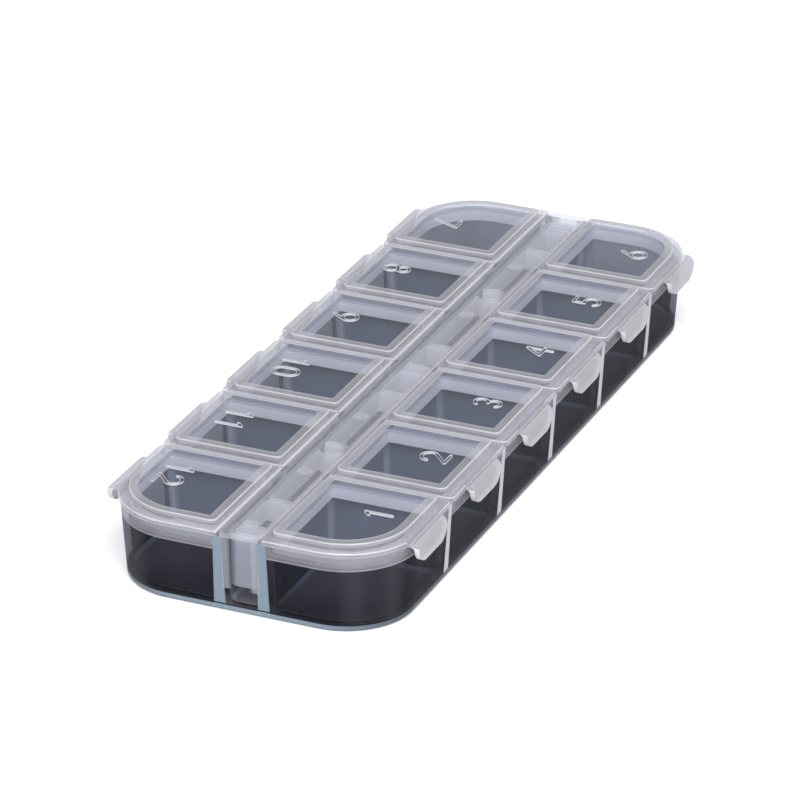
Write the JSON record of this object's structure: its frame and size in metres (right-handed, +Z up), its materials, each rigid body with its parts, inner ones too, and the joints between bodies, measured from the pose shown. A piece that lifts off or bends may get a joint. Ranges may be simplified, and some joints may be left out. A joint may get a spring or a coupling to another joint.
{
  "type": "organizer box",
  "caption": "Flat clear organizer box: a divided tray with rounded corners and a centre strip from which numbered flip lids hang on film hinges.",
  "frame": {"origin": "middle of the tray's underside", "axes": "+X across the box to the row of lids 1 to 6, +Y along the box from lid 1 to lid 6, +Z up"},
  "size_m": [0.0506, 0.13, 0.0143],
  "materials": {
    "tray_plastic": "smoke-tinted clear polystyrene, glossy",
    "lid_plastic": "natural translucent polypropylene, semi-gloss"
  },
  "bodies": {
    "case": {"tray": "tray_plastic", "centre_strip": "lid_plastic", "hinge_01": "lid_plastic", "hinge_02": "lid_plastic", "hinge_03": "lid_plastic", "hinge_04": "lid_plastic", "hinge_05": "lid_plastic", "hinge_06": "lid_plastic", "hinge_07": "lid_plastic", "hinge_08": "lid_plastic", "hinge_09": "lid_plastic", "hinge_10": "lid_plastic", "hinge_11": "lid_plastic", "hinge_12": "lid_plastic"},
    "lid_01": {"lid_01": "lid_plastic"},
    "lid_02": {"lid_02": "lid_plastic"},
    "lid_03": {"lid_03": "lid_plastic"},
    "lid_04": {"lid_04": "lid_plastic"},
    "lid_05": {"lid_05": "lid_plastic"},
    "lid_06": {"lid_06": "lid_plastic"},
    "lid_07": {"lid_07": "lid_plastic"},
    "lid_08": {"lid_08": "lid_plastic"},
    "lid_09": {"lid_09": "lid_plastic"},
    "lid_10": {"lid_10": "lid_plastic"},
    "lid_11": {"lid_11": "lid_plastic"},
    "lid_12": {"lid_12": "lid_plastic"}
  },
  "joints": [
    {"name": "lid_01_hinge", "type": "hinge", "parent": "case", "child": "lid_01", "pos_m": [0.0034, -0.05175, 0.01285], "axis": [0, -1, 0], "range_deg": [0, 95], "deforming": ["hinge_01"]},
    {"name": "lid_02_hinge", "type": "hinge", "parent": "case", "child": "lid_02", "pos_m": [0.0034, -0.03105, 0.01285], "axis": [0, -1, 0], "range_deg": [0, 95], "deforming": ["hinge_02"]},
    {"name": "lid_03_hinge", "type": "hinge", "parent": "case", "child": "lid_03", "pos_m": [0.0034, -0.01035, 0.01285], "axis": [0, -1, 0], "range_deg": [0, 95], "deforming": ["hinge_03"]},
    {"name": "lid_04_hinge", "type": "hinge", "parent": "case", "child": "lid_04", "pos_m": [0.0034, 0.01035, 0.01285], "axis": [0, -1, 0], "range_deg": [0, 95], "deforming": ["hinge_04"]},
    {"name": "lid_05_hinge", "type": "hinge", "parent": "case", "child": "lid_05", "pos_m": [0.0034, 0.03105, 0.01285], "axis": [0, -1, 0], "range_deg": [0, 95], "deforming": ["hinge_05"]},
    {"name": "lid_06_hinge", "type": "hinge", "parent": "case", "child": "lid_06", "pos_m": [0.0034, 0.05175, 0.01285], "axis": [0, -1, 0], "range_deg": [0, 95], "deforming": ["hinge_06"]},
    {"name": "lid_07_hinge", "type": "hinge", "parent": "case", "child": "lid_07", "pos_m": [-0.0034, 0.05175, 0.01285], "axis": [0, 1, 0], "range_deg": [0, 95], "deforming": ["hinge_07"]},
    {"name": "lid_08_hinge", "type": "hinge", "parent": "case", "child": "lid_08", "pos_m": [-0.0034, 0.03105, 0.01285], "axis": [0, 1, 0], "range_deg": [0, 95], "deforming": ["hinge_08"]},
    {"name": "lid_09_hinge", "type": "hinge", "parent": "case", "child": "lid_09", "pos_m": [-0.0034, 0.01035, 0.01285], "axis": [0, 1, 0], "range_deg": [0, 95], "deforming": ["hinge_09"]},
    {"name": "lid_10_hinge", "type": "hinge", "parent": "case", "child": "lid_10", "pos_m": [-0.0034, -0.01035, 0.01285], "axis": [0, 1, 0], "range_deg": [0, 95], "deforming": ["hinge_10"]},
    {"name": "lid_11_hinge", "type": "hinge", "parent": "case", "child": "lid_11", "pos_m": [-0.0034, -0.03105, 0.01285], "axis": [0, 1, 0], "range_deg": [0, 95], "deforming": ["hinge_11"]},
    {"name": "lid_12_hinge", "type": "hinge", "parent": "case", "child": "lid_12", "pos_m": [-0.0034, -0.05175, 0.01285], "axis": [0, 1, 0], "range_deg": [0, 95], "deforming": ["hinge_12"]}
  ]
}
